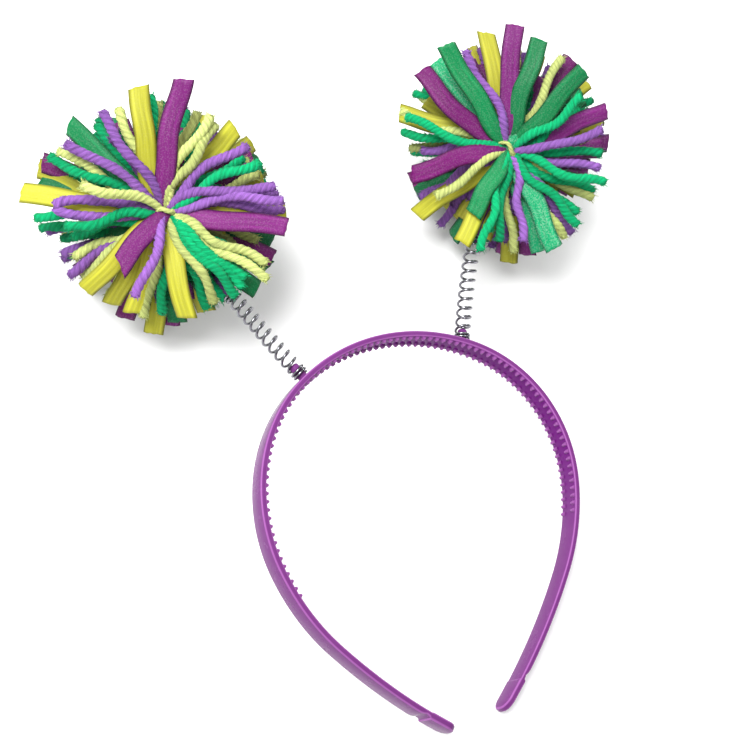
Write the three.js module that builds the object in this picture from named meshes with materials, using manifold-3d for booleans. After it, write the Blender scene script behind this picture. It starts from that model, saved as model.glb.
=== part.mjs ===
// Pompom headband: a moulded hoop with comb teeth, two wire springs on pegs and two
// pompoms of yarn and ribbon. It lies on a surface, on both pompoms and one tip.
// Millimetres, +Z up, +Y from the tips towards the crown, +X from the left pompom to the right.
import * as THREE from 'three';
import { mergeGeometries, mergeVertices } from 'three/addons/utils/BufferGeometryUtils.js';
import Module from 'manifold-3d';

const wasm = await Module();
wasm.setup();

// Hoop: arcs from the crown's middle down to a tip, the same on both sides.
const HOOP_ARCS = [
  { part: 'crown', length: 36, radius: 66.4 },
  { part: 'shoulder', length: 64, radius: 50.9 },
  { part: 'leg', length: 30, radius: 72.5 },
  { part: 'lower leg', length: 30, radius: 205 },
  { part: 'tip', length: 20, radius: 190 },
];
const HOOP_REACH = HOOP_ARCS.reduce((sum, arc) => sum + arc.length, 0);
const HOOP_WIDTH = 8.8;
const TIP_WIDTH = 9.2;
const FLARE_FROM = 80;        // distance from the crown where the legs start to widen
const HOOP_THICKNESS = 2;
const HOOP_CHAMFER = 0.5;
const HOOP_STEPS = 72;
const TIP_DROP = 22;          // the legs bow down below the crown's plane
const TIP_LEVEL = 126.5;      // how far the tips are from the crown, where the drop is measured

// End pads: the thicker rounded ends of the legs.
const PAD_LENGTH = 11;
const PAD_WIDTH = TIP_WIDTH + 0.2;
const PAD_THICKNESS = 2.4;
const PAD_STEPS = 8;
const PAD_BLUNT = 75;         // degrees of the end's half circle that are kept
const HOOP_END = 5;           // the strip stops this far inside its pad

// Comb teeth: two rows on the inner face.
const TOOTH_PITCH = 2.6;
const TOOTH_LENGTH = 1.9;
const TOOTH_HEIGHT = 0.9;
const TOOTH_WIDTH = 1.8;
const TOOTH_ROOT = 0.3;
const TOOTH_ROWS = [-3, 3];
const TEETH_REACH = 110;

// Pegs: moulded posts that the springs are pushed on to.
const PEG_ALONG = 31.85;
const PEG_RADIUS = 1.65;
const PEG_HEIGHT = 5;
const PEG_DOME = 0.9;
const PEG_SHOULDER = 0.7;     // share of the peg's radius where its dome is three tenths of the way down
const PEG_ROOT = 1;
const PEG_SIDES = 14;

// Springs: round wire, close coils at both ends and open coils between.
const WIRE_RADIUS = 0.45;
const WIRE_SIDES = 5;
const COIL_RADIUS = 2.4;
const COIL_STEPS = 9;
const CLOSE_TURNS = 2;
const CLOSE_PITCH = 1.15;
const OPEN_TURNS = 10;
const SEAT_GAP = 0.3;

// Each spring leans outwards in the hoop's plane and lifts out of it, in degrees, towards its
// pompom's centre, and its head enters the pompom to one side of that centre, in millimetres.
// Its open coils slant by some degrees, where the pompom's weight pulls them over.
const SPRINGS = [
  { side: 'left', sign: -1, lean: 25.5, lift: 0, peg_to_centre: 69, aside: 0, slant: 18 },
  { side: 'right', sign: 1, lean: 28.5, lift: 16, peg_to_centre: 71, aside: 4, slant: 14 },
];

// Pompoms: rings of strips and locks round a tie, on a flattened core that sits behind the tie.
const CORE_RADIUS = 28;
const CORE_DEPTH = 19;
const CORE_BEHIND = 6;
const CORE_SIDES = 12;
const CORE_RINGS = 6;
const STUB_RADIUS = 1.65;
const STUB_SIDES = 10;
const SPRING_HEAD = 33.6;     // distance of the spring's last coil from the pompom's centre
const STRAND_RINGS = [
  { lean: 52, count: 6, reach: 33 },
  { lean: 70, count: 13, reach: 41 },
  { lean: 86, count: 14, reach: 40 },
  { lean: 104, count: 13, reach: 39 },
  { lean: 124, count: 10, reach: 38.5 },
  { lean: 145, count: 6, reach: 39 },
  { lean: 168, count: 3, reach: 38.5 },
];
const STRAND_ROOT = 10;       // strands start this far from the pompom's centre, inside the core
const STRAND_CURL = 16;       // degrees that a strand turns away from the tie along its length
const STRAND_STEPS = 2;
const RING_TURN = 137.5;      // degrees between the first strands of two rings
const RIBBON_WIDTH = 6;
const RIBBON_THICKNESS = 1.6;
const YARN_RADIUS = 2.3;
const YARN_SIDES = 4;
const YARN_END = 0.6;         // share of the yarn's radius at its rounded end
const SPRING_CLEAR = 17;      // degrees round the spring that hold no strand
const TIE_AIM = new THREE.Vector3(-192, -93, 332);   // both ties face this point above the hoop
const TIE_UP = new THREE.Vector3(0.19, 0.92, 0.33);  // and this way is up on them

// Lying: how far the hoop rolls and tips to rest on both pompoms and the right tip.
const LYING_ROLL = 9.05;
const LYING_TILT = -0.5;
const FLOOR_CLEAR = 0.05;

const MERGE_DISTANCE = 1e-4;
const Y_AXIS = new THREE.Vector3(0, 1, 0);
const Z_AXIS = new THREE.Vector3(0, 0, 1);
const radians = THREE.MathUtils.degToRad;

const purplePlastic = new THREE.MeshStandardMaterial({ color: 0x8f3fa0, roughness: 0.3, metalness: 0 });
const springSteel = new THREE.MeshStandardMaterial({ color: 0xb9bcc0, roughness: 0.3, metalness: 1 });
const yarnAndRibbon = new THREE.MeshStandardMaterial({ color: 0x8a5cc0, roughness: 0.8, metalness: 0 });

// A closed three.js geometry as a solid that can be joined and cut.
function solid(geometry) {
  geometry.deleteAttribute('normal');
  geometry.deleteAttribute('uv');
  const merged = mergeVertices(geometry, MERGE_DISTANCE);
  const corners = merged.index.array;
  const triangles = [];
  for (let i = 0; i < corners.length; i += 3) {
    const [a, b, c] = corners.slice(i, i + 3);
    if (a !== b && b !== c && c !== a) {
      triangles.push(a, b, c);
    }
  }
  return new wasm.Manifold(new wasm.Mesh({
    numProp: 3,
    vertProperties: new Float32Array(merged.attributes.position.array),
    triVerts: new Uint32Array(triangles),
  }));
}

function meshOf(name, body, material) {
  const { vertProperties, triVerts } = body.getMesh();
  const geometry = new THREE.BufferGeometry();
  geometry.setAttribute('position', new THREE.BufferAttribute(vertProperties, 3));
  geometry.setIndex(new THREE.BufferAttribute(triVerts, 1));
  geometry.computeVertexNormals();
  const mesh = new THREE.Mesh(geometry, material);
  mesh.name = name;
  return mesh;
}

// Moves every vertex of a straight geometry to its place on the object.
function shaped(geometry, place) {
  const position = geometry.attributes.position;
  const vertex = new THREE.Vector3();
  for (let i = 0; i < position.count; i += 1) {
    vertex.fromBufferAttribute(position, i);
    position.setXYZ(i, ...place(vertex));
  }
  return geometry;
}

// Point and outward direction of the hoop's outer face, at a signed distance from the crown.
function hoopFrame(along) {
  const side = along < 0 ? -1 : 1;
  let left = Math.abs(along);
  let turn = 0;
  let x = 0;
  let y = 0;
  for (const arc of HOOP_ARCS) {
    const next = turn + Math.min(left, arc.length) / arc.radius;
    x += arc.radius * (Math.sin(next) - Math.sin(turn));
    y += arc.radius * (Math.cos(next) - Math.cos(turn));
    turn = next;
    left = Math.max(0, left - arc.length);
  }
  return {
    point: new THREE.Vector3(side * x, y, 0),
    out: new THREE.Vector3(side * Math.sin(turn), Math.cos(turn), 0),
  };
}

function onHoop(along, across, out) {
  const frame = hoopFrame(along);
  const point = frame.point.addScaledVector(frame.out, out);
  point.z = across - TIP_DROP * (point.y / TIP_LEVEL) ** 2;
  return point;
}

// Chamfered strip section: the outer rows of the box's grid are thinner than its middle.
function onStrip(along, vertex, halfWidth, thickness, proud) {
  const atEdge = Math.abs(vertex.y) === 0.5;
  const across = atEdge ? halfWidth : Math.max(halfWidth - HOOP_CHAMFER, halfWidth / 2);
  const inset = atEdge ? HOOP_CHAMFER : 0;
  const out = vertex.z > 0 ? proud - inset : proud - thickness + inset;
  return onHoop(along, -Math.sign(vertex.y) * across, out);
}

function hoopStrip() {
  const length = 2 * (HOOP_REACH - HOOP_END);
  const strip = new THREE.BoxGeometry(length, 1, 1, HOOP_STEPS, 3, 1);
  return solid(shaped(strip, (v) => {
    const flare = THREE.MathUtils.smoothstep(Math.abs(v.x), FLARE_FROM, HOOP_REACH);
    const width = THREE.MathUtils.lerp(HOOP_WIDTH, TIP_WIDTH, flare);
    return onStrip(v.x, v, width / 2, HOOP_THICKNESS, 0);
  }));
}

// The last steps of the pad follow a half circle, so its end is rounded.
function endPad(sign) {
  const roundFrom = PAD_LENGTH - PAD_WIDTH / 2;
  const straightSteps = 2;
  const roundSteps = PAD_STEPS - straightSteps;
  const pad = new THREE.BoxGeometry(PAD_STEPS, 1, 1, PAD_STEPS, 3, 1);
  const proud = (PAD_THICKNESS - HOOP_THICKNESS) / 2;
  return solid(shaped(pad, (v) => {
    const step = Math.round(v.x * sign + PAD_STEPS / 2);
    const roundShare = Math.max(0, step - straightSteps) / roundSteps;
    const angle = radians(PAD_BLUNT) * roundShare;
    const straight = roundFrom * Math.min(step / straightSteps, 1);
    const along = HOOP_REACH - PAD_LENGTH + straight + (PAD_WIDTH / 2) * Math.sin(angle);
    return onStrip(sign * along, v, (PAD_WIDTH / 2) * Math.cos(angle), PAD_THICKNESS, proud);
  }));
}

function combTeeth() {
  const outline = new THREE.Shape([
    new THREE.Vector2(-TOOTH_LENGTH / 2, TOOTH_ROOT),
    new THREE.Vector2(0, -TOOTH_HEIGHT),
    new THREE.Vector2(TOOTH_LENGTH / 2, TOOTH_ROOT),
  ]);
  const teeth = [];
  const count = Math.floor(TEETH_REACH / TOOTH_PITCH);
  for (const row of TOOTH_ROWS) {
    for (let i = -count; i <= count; i += 1) {
      const tooth = new THREE.ExtrudeGeometry(outline, { depth: TOOTH_WIDTH, bevelEnabled: false });
      const across = row - TOOTH_WIDTH / 2;
      teeth.push(shaped(tooth, (v) => onHoop(i * TOOTH_PITCH + v.x, across + v.z, v.y - HOOP_THICKNESS)));
    }
  }
  return solid(mergeGeometries(teeth));
}

function peg(sign) {
  const profile = [
    new THREE.Vector2(0, -PEG_ROOT),
    new THREE.Vector2(PEG_RADIUS, -PEG_ROOT),
    new THREE.Vector2(PEG_RADIUS, PEG_HEIGHT - PEG_DOME),
    new THREE.Vector2(PEG_RADIUS * PEG_SHOULDER, PEG_HEIGHT - PEG_DOME * (1 - PEG_SHOULDER)),
    new THREE.Vector2(0, PEG_HEIGHT),
  ];
  const post = new THREE.LatheGeometry(profile, PEG_SIDES);
  const turn = new THREE.Quaternion().setFromUnitVectors(Y_AXIS, hoopFrame(sign * PEG_ALONG).out);
  const foot = onHoop(sign * PEG_ALONG, 0, 0);
  return solid(shaped(post, (v) => v.applyQuaternion(turn).add(foot)));
}

function band() {
  let body = hoopStrip().add(combTeeth());
  for (const sign of [-1, 1]) {
    body = body.add(endPad(sign)).add(peg(sign));
  }
  return meshOf('band', body, purplePlastic);
}

// Where a spring starts, which way it leaves its peg, and where its pompom sits.
function springLine(spring) {
  const along = spring.sign * PEG_ALONG;
  const lean = radians(spring.lean);
  const lift = radians(spring.lift);
  const towards = new THREE.Vector3(
    spring.sign * Math.sin(lean) * Math.cos(lift),
    Math.cos(lean) * Math.cos(lift),
    Math.sin(lift),
  );
  const foot = onHoop(along, 0, SEAT_GAP + WIRE_RADIUS);
  const centre = onHoop(along, 0, 0).addScaledVector(towards, spring.peg_to_centre);
  const inwards = new THREE.Vector3().crossVectors(towards, Z_AXIS).multiplyScalar(-spring.sign);
  const aside = inwards.setLength(1).multiplyScalar(spring.aside);
  const head = centre.clone().addScaledVector(towards, -SPRING_HEAD).add(aside);
  const third = foot.distanceTo(head) / 3;
  const axis = new THREE.CubicBezierCurve3(
    foot,
    foot.clone().addScaledVector(hoopFrame(along).out, third),
    head.clone().addScaledVector(towards, -third),
    head,
  );
  return { axis, centre, towards, aside };
}

// The wire's centre line: turns are close at both ends of the axis and open between.
class CoiledWire extends THREE.Curve {
  constructor(axis, slant) {
    super();
    this.axis = axis;
    this.slant = Math.tan(radians(slant));
    this.arcLengthDivisions = 1500;
    this.length = axis.getLength();
    this.turns = OPEN_TURNS + 2 * CLOSE_TURNS;
  }

  getPoint(t, target = new THREE.Vector3()) {
    const turn = t * this.turns;
    const closeLength = CLOSE_TURNS * CLOSE_PITCH;
    const openPitch = (this.length - 2 * closeLength) / OPEN_TURNS;
    const low = Math.min(turn, CLOSE_TURNS) * CLOSE_PITCH;
    const middle = THREE.MathUtils.clamp(turn - CLOSE_TURNS, 0, OPEN_TURNS) * openPitch;
    const high = Math.max(turn - CLOSE_TURNS - OPEN_TURNS, 0) * CLOSE_PITCH;
    const share = Math.min((low + middle + high) / this.length, 1);
    const ahead = this.axis.getTangentAt(share);
    const side = new THREE.Vector3().crossVectors(ahead, Z_AXIS).normalize();
    const above = new THREE.Vector3().crossVectors(side, ahead);
    const angle = -2 * Math.PI * turn;   // wound right-handed
    const open = THREE.MathUtils.clamp(Math.min(turn, this.turns - turn) - CLOSE_TURNS, 0, 1);
    return target.copy(this.axis.getPointAt(share))
      .addScaledVector(side, COIL_RADIUS * Math.cos(angle))
      .addScaledVector(above, COIL_RADIUS * Math.sin(angle))
      .addScaledVector(ahead, COIL_RADIUS * Math.sin(angle) * this.slant * open);
  }
}

function coilSpring(spring) {
  const section = new THREE.Shape();
  for (let i = 0; i < WIRE_SIDES; i += 1) {
    const angle = (2 * Math.PI * i) / WIRE_SIDES;
    const corner = [WIRE_RADIUS * Math.cos(angle), WIRE_RADIUS * Math.sin(angle)];
    if (i === 0) {
      section.moveTo(...corner);
    } else {
      section.lineTo(...corner);
    }
  }
  const wire = new CoiledWire(springLine(spring).axis, spring.slant);
  const tube = new THREE.ExtrudeGeometry(section, {
    steps: Math.round(wire.turns * COIL_STEPS),
    extrudePath: wire,
  });
  return meshOf(`spring_${spring.side}`, solid(tube), springSteel);
}

// A strand's direction: lean is the angle from the tie, clock runs round it from its top.
function strandFrame(tie, lean, clock) {
  const round = tie.up.clone().multiplyScalar(Math.cos(clock)).addScaledVector(tie.right, Math.sin(clock));
  return {
    ahead: tie.axis.clone().multiplyScalar(Math.cos(lean)).addScaledVector(round, Math.sin(lean)),
    side: tie.up.clone().multiplyScalar(-Math.sin(clock)).addScaledVector(tie.right, Math.cos(clock)),
    over: tie.axis.clone().multiplyScalar(Math.sin(lean)).addScaledVector(round, -Math.cos(lean)),
  };
}

// One ribbon strip or yarn lock, from inside the core out to its end, no lower than the floor.
function strand(tie, ring, clock, isRibbon, floor) {
  const lean = radians(ring.lean);
  const tip = strandFrame(tie, lean, clock);
  const halfWidth = isRibbon ? RIBBON_WIDTH / 2 : YARN_RADIUS;
  const halfThick = isRibbon ? RIBBON_THICKNESS / 2 : YARN_RADIUS * YARN_END;
  const hang = halfWidth * Math.abs(tip.side.z) + halfThick * Math.abs(tip.over.z) + FLOOR_CLEAR;
  const room = tip.ahead.z < 0 ? (floor - hang) / -tip.ahead.z : Infinity;
  const reach = Math.min(ring.reach, room);
  const straight = isRibbon
    ? new THREE.BoxGeometry(RIBBON_WIDTH, 1, RIBBON_THICKNESS, 1, STRAND_STEPS, 1)
    : new THREE.CylinderGeometry(YARN_RADIUS, YARN_RADIUS, 1, YARN_SIDES, STRAND_STEPS);
  return solid(shaped(straight, (v) => {
    const share = v.y + 0.5;
    const curl = radians(STRAND_CURL) * (share ** 2 - 1);
    const here = strandFrame(tie, lean + curl, clock);
    const narrow = !isRibbon && share === 1 ? YARN_END : 1;
    return here.ahead.multiplyScalar(STRAND_ROOT + (reach - STRAND_ROOT) * share)
      .addScaledVector(here.side, v.x * narrow)
      .addScaledVector(here.over, v.z * narrow);
  }));
}

// The core that the strands are tied into, and the bound stub that the spring's head holds.
function core(tie, towardsSpring, aside) {
  const ball = new THREE.SphereGeometry(CORE_RADIUS, CORE_SIDES, CORE_RINGS);
  const stubLength = SPRING_HEAD + CLOSE_TURNS * CLOSE_PITCH;
  const stub = new THREE.CylinderGeometry(STUB_RADIUS, STUB_RADIUS, stubLength, STUB_SIDES);
  const turnBall = new THREE.Quaternion().setFromUnitVectors(Y_AXIS, tie.axis);
  const turnStub = new THREE.Quaternion().setFromUnitVectors(Y_AXIS, towardsSpring);
  shaped(ball, (v) => {
    v.y = (v.y * CORE_DEPTH) / CORE_RADIUS - CORE_BEHIND;
    return v.applyQuaternion(turnBall);
  });
  shaped(stub, (v) => {
    v.y += stubLength / 2;
    return v.applyQuaternion(turnStub).add(aside);
  });
  return solid(ball).add(solid(stub));
}

// Built round its own centre; floor is how far below that centre the surface lies.
function pompom(spring, tie, towardsSpring, aside, floor) {
  let body = core(tie, towardsSpring, aside);
  const springEnd = towardsSpring.clone().multiplyScalar(SPRING_HEAD).add(aside);
  let made = 0;
  STRAND_RINGS.forEach((ring, row) => {
    for (let i = 0; i < ring.count; i += 1) {
      const clock = radians(RING_TURN * row) + (2 * Math.PI * i) / ring.count;
      const end = strandFrame(tie, radians(ring.lean), clock).ahead;
      if (end.angleTo(springEnd) > radians(SPRING_CLEAR)) {
        body = body.add(strand(tie, ring, clock, made % 2 === 0, floor));
      }
      made += 1;
    }
  });
  return meshOf(`pompom_${spring.side}`, body, yarnAndRibbon);
}

function tieFrame(centre, turn) {
  const axis = TIE_AIM.clone().sub(centre).normalize();
  const up = TIE_UP.clone().addScaledVector(axis, -TIE_UP.dot(axis)).normalize();
  const right = new THREE.Vector3().crossVectors(up, axis);
  return {
    axis: axis.applyQuaternion(turn),
    up: up.applyQuaternion(turn),
    right: right.applyQuaternion(turn),
  };
}

// The hoop and springs lie in a turned group, and the pompoms reach down to the tip's level.
const lying = new THREE.Group();
lying.rotation.set(radians(LYING_TILT), radians(LYING_ROLL), 0);
lying.add(band());
for (const spring of SPRINGS) {
  lying.add(coilSpring(spring));
}

const headband = new THREE.Group();
headband.add(lying);
const tipLevel = new THREE.Box3().setFromObject(headband, true).min.z;
for (const spring of SPRINGS) {
  const { centre, towards, aside } = springLine(spring);
  const tie = tieFrame(centre, lying.quaternion);
  const towardsSpring = towards.negate().applyQuaternion(lying.quaternion);
  aside.applyQuaternion(lying.quaternion);
  const place = centre.clone().applyQuaternion(lying.quaternion);
  const ball = pompom(spring, tie, towardsSpring, aside, place.z - tipLevel);
  ball.position.copy(place);
  headband.add(ball);
}

// The origin is under the middle of the whole object, on the surface that it lies on.
const box = new THREE.Box3().setFromObject(headband, true);
const middle = box.getCenter(new THREE.Vector3());
headband.position.set(-middle.x, -middle.y, -box.min.z);

export default headband;
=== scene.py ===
# Pompom headband lying on a pale table: a moulded hoop with comb teeth, two steel springs pushed on
# to pegs, and two pompoms of plied yarn and satin ribbon tied in the middle.
import math

import bpy
import numpy as np
from mathutils import Matrix, Vector


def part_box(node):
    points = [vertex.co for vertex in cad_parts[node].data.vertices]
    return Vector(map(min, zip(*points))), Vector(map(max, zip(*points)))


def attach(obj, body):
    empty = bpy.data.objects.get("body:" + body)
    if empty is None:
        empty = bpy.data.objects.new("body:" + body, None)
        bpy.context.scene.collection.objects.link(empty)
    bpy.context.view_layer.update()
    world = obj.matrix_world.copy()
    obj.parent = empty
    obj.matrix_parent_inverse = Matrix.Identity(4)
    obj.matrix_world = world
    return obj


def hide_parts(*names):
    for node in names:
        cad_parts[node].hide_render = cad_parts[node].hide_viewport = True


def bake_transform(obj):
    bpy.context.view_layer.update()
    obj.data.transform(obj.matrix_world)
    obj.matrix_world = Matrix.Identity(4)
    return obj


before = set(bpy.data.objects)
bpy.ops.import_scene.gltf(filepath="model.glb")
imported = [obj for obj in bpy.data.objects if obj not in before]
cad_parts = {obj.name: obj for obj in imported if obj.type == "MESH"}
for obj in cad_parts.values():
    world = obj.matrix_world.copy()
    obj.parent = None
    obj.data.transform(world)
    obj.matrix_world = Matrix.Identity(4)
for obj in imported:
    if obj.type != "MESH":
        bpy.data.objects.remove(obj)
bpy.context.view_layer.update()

# View: the camera looks down on the table from 0.4 m away, turned so that the hoop's mouth points
# down and to the right of the picture.
MM = 0.001
CROWN_IN_BOX = (59.36, 127.87, 26.74)
EYE_FROM_CROWN = (-137.53, -89.67, 359.27)
AIM_FROM_CROWN = (-6.59, -12.58, 3.79)
VIEW_UP = Vector((0.24084, 0.92636, 0.28958))
LENS = 57.15
NEAREST = 0.01

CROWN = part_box("band")[0] + Vector(CROWN_IN_BOX) * MM
EYE = CROWN + Vector(EYE_FROM_CROWN) * MM
AIM = CROWN + Vector(AIM_FROM_CROWN) * MM
sight = (AIM - EYE).normalized()
sideways = sight.cross(VIEW_UP).normalized()
upwards = sideways.cross(sight)
camera = bpy.data.objects.new("view", bpy.data.cameras.new("view"))
camera.data.lens = LENS
camera.data.clip_start = NEAREST
camera.matrix_world = Matrix.Translation(EYE) @ Matrix((sideways, upwards, -sight)).transposed().to_4x4()
bpy.context.scene.collection.objects.link(camera)
bpy.context.scene.camera = camera
bpy.context.scene.view_settings.view_transform = "Standard"


# Table and light: a plain pale table under a bright ceiling that dims towards the right, a soft box
# overhead on the left and a weaker one across from it.
TABLE_SIZE = 6.0
TABLE_COLOURS = [(244, 244, 244), (249, 249, 249)]
BRIGHT_FROM = (-0.38, 0.2, 0.9)
SKY_BRIGHT = 1.05
SKY_DIM = 0.12
DIM_BELOW = -0.3
SOFT_BOXES = [
    {"name": "key", "place": (-0.42, 0.25, 1.0), "size": 0.5, "watts": 15.5},
    {"name": "rim", "place": (0.75, 0.55, 0.55), "size": 0.3, "watts": 3.0},
]


def paint(red, green, blue):
    """A colour as it looks on a screen, 0 to 255, as the linear colour that a shader takes."""
    shares = np.array([red, green, blue]) / 255
    linear = np.where(shares > 0.04045, ((shares + 0.055) / 1.055) ** 2.4, shares / 12.92)
    return (*linear.tolist(), 1.0)


def surface(name, **sockets):
    """A material with one Principled BSDF, whose plain values are set on its own sockets."""
    material = bpy.data.materials.new(name)
    material.use_nodes = True
    shader = material.node_tree.nodes["Principled BSDF"]
    for socket, value in sockets.items():
        shader.inputs[socket.replace("_", " ")].default_value = value
    return material, material.node_tree, shader


def add_node(tree, kind, **values):
    """A shader node of that kind, with its properties and the values of its named inputs set."""
    made = tree.nodes.new("ShaderNode" + kind)
    for key, value in values.items():
        if hasattr(made, key):
            setattr(made, key, value)
        else:
            made.inputs[key.replace("_", " ")].default_value = value
    return made


def link(source, output, target, socket):
    """Joins a shader node's output to a socket of another node of the same tree."""
    source.id_data.links.new(source.outputs[output], target.inputs[socket])


bpy.ops.object.select_all(action="DESELECT")
bpy.ops.mesh.primitive_plane_add(size=TABLE_SIZE)
table = bpy.context.object
table.name = "table"
table_paint, tree, shader = surface("pale_table", Roughness=0.7)
grain = add_node(tree, "TexNoise", Scale=9.0, Detail=3.0)
place = add_node(tree, "TexCoord")
tint = add_node(tree, "Mix", data_type="RGBA", A=paint(*TABLE_COLOURS[0]), B=paint(*TABLE_COLOURS[1]))
link(place, "Object", grain, "Vector")
link(grain, "Fac", tint, "Factor")
link(tint, "Result", shader, "Base Color")
table.data.materials.append(table_paint)

sky = bpy.data.worlds.new("studio")
sky.use_nodes = True
bpy.context.scene.world = sky
backdrop = sky.node_tree.nodes["Background"]
direction = add_node(sky.node_tree, "TexCoord")
facing = add_node(sky.node_tree, "VectorMath", operation="DOT_PRODUCT")
facing.inputs[1].default_value = BRIGHT_FROM
level = add_node(sky.node_tree, "MapRange", From_Min=DIM_BELOW, To_Min=SKY_DIM, To_Max=SKY_BRIGHT)
link(direction, "Generated", facing, 0)
link(facing, "Value", level, "Value")
link(level, "Result", backdrop, "Strength")
backdrop.inputs["Color"].default_value = (1.0, 1.0, 1.0, 1.0)

for box in SOFT_BOXES:
    lamp = bpy.data.objects.new(box["name"], bpy.data.lights.new(box["name"], "AREA"))
    lamp.data.size = box["size"]
    lamp.data.energy = box["watts"]
    lamp.location = box["place"]
    lamp.rotation_euler = (AIM - Vector(box["place"])).to_track_quat("-Z", "Y").to_euler()
    bpy.context.scene.collection.objects.link(lamp)


# Hoop: a springy strip of glossy purple plastic, moulded flat in section with rounded edges. It is
# made of arcs that open out towards the tips, and its legs bow below the crown.
HOOP_ARCS = [(36.0, 66.4), (64.0, 50.9), (30.0, 72.5), (30.0, 205.0), (20.0, 190.0)]
HOOP_REACH = sum(length for length, radius in HOOP_ARCS)
HOOP_WIDTH = 8.8
TIP_WIDTH = 9.2
FLARE_FROM = 80.0
HOOP_THICKNESS = 2.0
EDGE_ROUND = 0.55
MARK_MARGIN = 0.01
HOOP_CUTS = (15, 19)
HOOP_END = 5.0
TIP_DROP = 22.0
TIP_LEVEL = 126.5
LYING_TILT = math.radians(-0.5)
LYING_ROLL = math.radians(9.05)
LYING = np.array(Matrix.Rotation(LYING_TILT, 3, "X") @ Matrix.Rotation(LYING_ROLL, 3, "Y"))
PLASTIC_COLOURS = [(102, 43, 108), (115, 57, 121)]
# Painted shade on the toothed inner face near the crown, fading out along the legs over INNER_FADES.
INNER_PAINTED_SHADE = (98, 22, 108)
# Painted highlight along the rounded edges of the strip and pads, and on the teeth's crests.
EDGE_PAINTED_HIGHLIGHT = (150, 88, 155)
INNER_FADES = (88.0, 116.0)
GROOVE_FROM_END = 12.4
GROOVE_LENGTH = 1.4
GROOVE_DEPTH = 0.7
MOSTLY = 0.9
SMOOTH_BELOW = math.radians(40)


def hoop_turn(along):
    """Point on the hoop's outer face, in its plane, and the angle that the strip has turned by there."""
    left, turn, x, y = np.abs(along), 0.0, 0.0, 0.0
    for length, radius in HOOP_ARCS:
        ahead = turn + np.minimum(left, length) / radius
        x = x + radius * (np.sin(ahead) - np.sin(turn))
        y = y + radius * (np.cos(ahead) - np.cos(turn))
        turn = ahead
        left = np.maximum(left - length, 0.0)
    return x, y, turn


def lie(points):
    """Points of the flat hoop's own frame, in millimetres, to where it lies on the table, in metres."""
    return np.asarray(points) @ LYING.T * MM + np.array(CROWN)


def on_hoop(along, across, out):
    """Points given along, across and out from a straight strip, bent on to the lying hoop."""
    x, y, turn = hoop_turn(along)
    side = np.where(np.asarray(along) < 0, -1.0, 1.0)
    x = side * (x + out * np.sin(turn))
    y = y + out * np.cos(turn)
    z = across - TIP_DROP * (y / TIP_LEVEL) ** 2
    return lie(np.stack([x, y, z], axis=-1))


def corners_of(piece):
    """The piece's vertices as an array."""
    flat = np.zeros(len(piece.data.vertices) * 3, np.float32)
    piece.data.vertices.foreach_get("co", flat)
    return flat.reshape(-1, 3).astype(float)


def move_corners(piece, points):
    """Puts the piece's vertices at those points."""
    piece.data.vertices.foreach_set("co", np.asarray(points, np.float32).ravel())
    piece.data.update()


def bend_on_to_hoop(piece):
    """Bends a straight piece on to the hoop, and makes sure that its faces point outwards."""
    along, across, out = corners_of(piece).T
    move_corners(piece, on_hoop(along, across, out))
    bpy.ops.object.mode_set(mode="EDIT")
    bpy.ops.mesh.select_all(action="SELECT")
    bpy.ops.mesh.normals_make_consistent(inside=False)
    bpy.ops.object.mode_set(mode="OBJECT")


def block(name, length, width, thickness):
    """A plain box of that size, lying along X."""
    bpy.ops.object.select_all(action="DESELECT")
    bpy.ops.mesh.primitive_cube_add(size=1)
    piece = bpy.context.object
    piece.name = name
    piece.scale = (length, width, thickness)
    bpy.ops.object.transform_apply(location=False, rotation=False, scale=True)
    return piece


def pick_edges(piece, wanted):
    """Selects the edges for which wanted(start, end) is true, in edit mode."""
    bpy.ops.object.mode_set(mode="EDIT")
    bpy.ops.mesh.select_mode(type="EDGE")
    bpy.ops.mesh.select_all(action="DESELECT")
    bpy.ops.object.mode_set(mode="OBJECT")
    points = [vertex.co for vertex in piece.data.vertices]
    for edge in piece.data.edges:
        edge.select = bool(wanted(points[edge.vertices[0]], points[edge.vertices[1]]))
    bpy.ops.object.mode_set(mode="EDIT")


def runs_along(start, end):
    """Whether an edge runs along the strip."""
    return abs(start.x - end.x) > MOSTLY * (start - end).length


def mark(piece, name, values):
    """Stores a value for each vertex, for the material to read."""
    stored = piece.data.attributes.new(name, "FLOAT", "POINT")
    stored.data.foreach_set("value", np.asarray(values, np.float32))


def on_rounding(out, thickness, rounding):
    """Whether points of a strip lie on its rounded edges, from how far out from its middle they are."""
    return np.abs(np.abs(out) - thickness / 2 + rounding / 2) < rounding / 2 - MARK_MARGIN


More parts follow.
